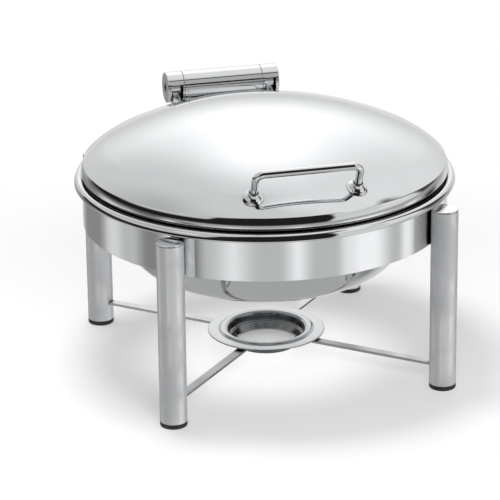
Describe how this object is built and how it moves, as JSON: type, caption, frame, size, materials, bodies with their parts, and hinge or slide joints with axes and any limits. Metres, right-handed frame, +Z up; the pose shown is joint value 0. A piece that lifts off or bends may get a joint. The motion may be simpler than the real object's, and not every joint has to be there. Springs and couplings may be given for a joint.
{
  "type": "round roll top chafer",
  "caption": "Round stainless buffet chafer with a hinged domed lid, a food pan over a water pan, a four-legged stand and a holder for a tin of gel fuel.",
  "frame": {"origin": "on the floor, under the middle of the whole box; the pans' and the hoop's vertical axis stands 5.4 mm in front of it", "axes": "+Z up, +Y from the handle at the front towards the lid hinge at the rear, +X to the right seen from the front"},
  "size_m": [0.44, 0.4508, 0.3064],
  "materials": {
    "polished_steel": "mirror-polished stainless steel",
    "satin_steel": "satin stainless steel",
    "black_rubber": "matte black rubber",
    "dark_polymer": "dark bearing polymer",
    "pale_silicone": "pale silicone"
  },
  "bodies": {
    "stand": {"frame_hoop": "polished_steel", "leg_front_left": "polished_steel", "leg_front_right": "polished_steel", "leg_rear_right": "polished_steel", "leg_rear_left": "polished_steel", "leg_cap_front_left": "polished_steel", "leg_cap_front_right": "polished_steel", "leg_cap_rear_right": "polished_steel", "leg_cap_rear_left": "polished_steel", "foot_front_left": "black_rubber", "foot_front_right": "black_rubber", "foot_rear_right": "black_rubber", "foot_rear_left": "black_rubber", "leg_screw_front_left": "satin_steel", "leg_screw_front_right": "satin_steel", "leg_screw_rear_right": "satin_steel", "leg_screw_rear_left": "satin_steel", "brace_bar_front_left": "polished_steel", "brace_bar_front_right": "polished_steel", "brace_bar_rear_right": "polished_steel", "brace_bar_rear_left": "polished_steel", "holder_ring": "polished_steel"},
    "fuel_holder_unit": {"fuel_holder": "polished_steel"},
    "pan_unit": {"water_pan": "polished_steel", "food_pan": "satin_steel", "hinge_mount": "polished_steel", "hinge_barrel": "polished_steel", "hinge_bush_left": "dark_polymer", "hinge_bush_right": "dark_polymer", "hinge_damper": "satin_steel"},
    "lid": {"lid_shell": "polished_steel", "handle_rod": "polished_steel", "handle_base_left": "polished_steel", "handle_base_right": "polished_steel", "handle_washer_left": "pale_silicone", "handle_washer_right": "pale_silicone", "handle_screw_left": "satin_steel", "handle_screw_right": "satin_steel", "hinge_axle": "satin_steel", "hinge_knuckle_left": "polished_steel", "hinge_knuckle_right": "polished_steel", "hinge_lug_left": "polished_steel", "hinge_lug_right": "polished_steel", "hinge_screw_left": "satin_steel", "hinge_screw_right": "satin_steel"}
  },
  "joints": [
    {"name": "pan_lift", "type": "slide", "parent": "stand", "child": "pan_unit", "axis": [0, 0, 1], "range_m": [0, 0.12]},
    {"name": "fuel_holder_lift", "type": "slide", "parent": "stand", "child": "fuel_holder_unit", "axis": [0, 0, 1], "range_m": [0, 0.05]},
    {"name": "lid_hinge", "type": "hinge", "parent": "pan_unit", "child": "lid", "pos_m": [0, 0.2066, 0.2718], "axis": [-1, 0, 0], "range_deg": [0, 90]}
  ]
}
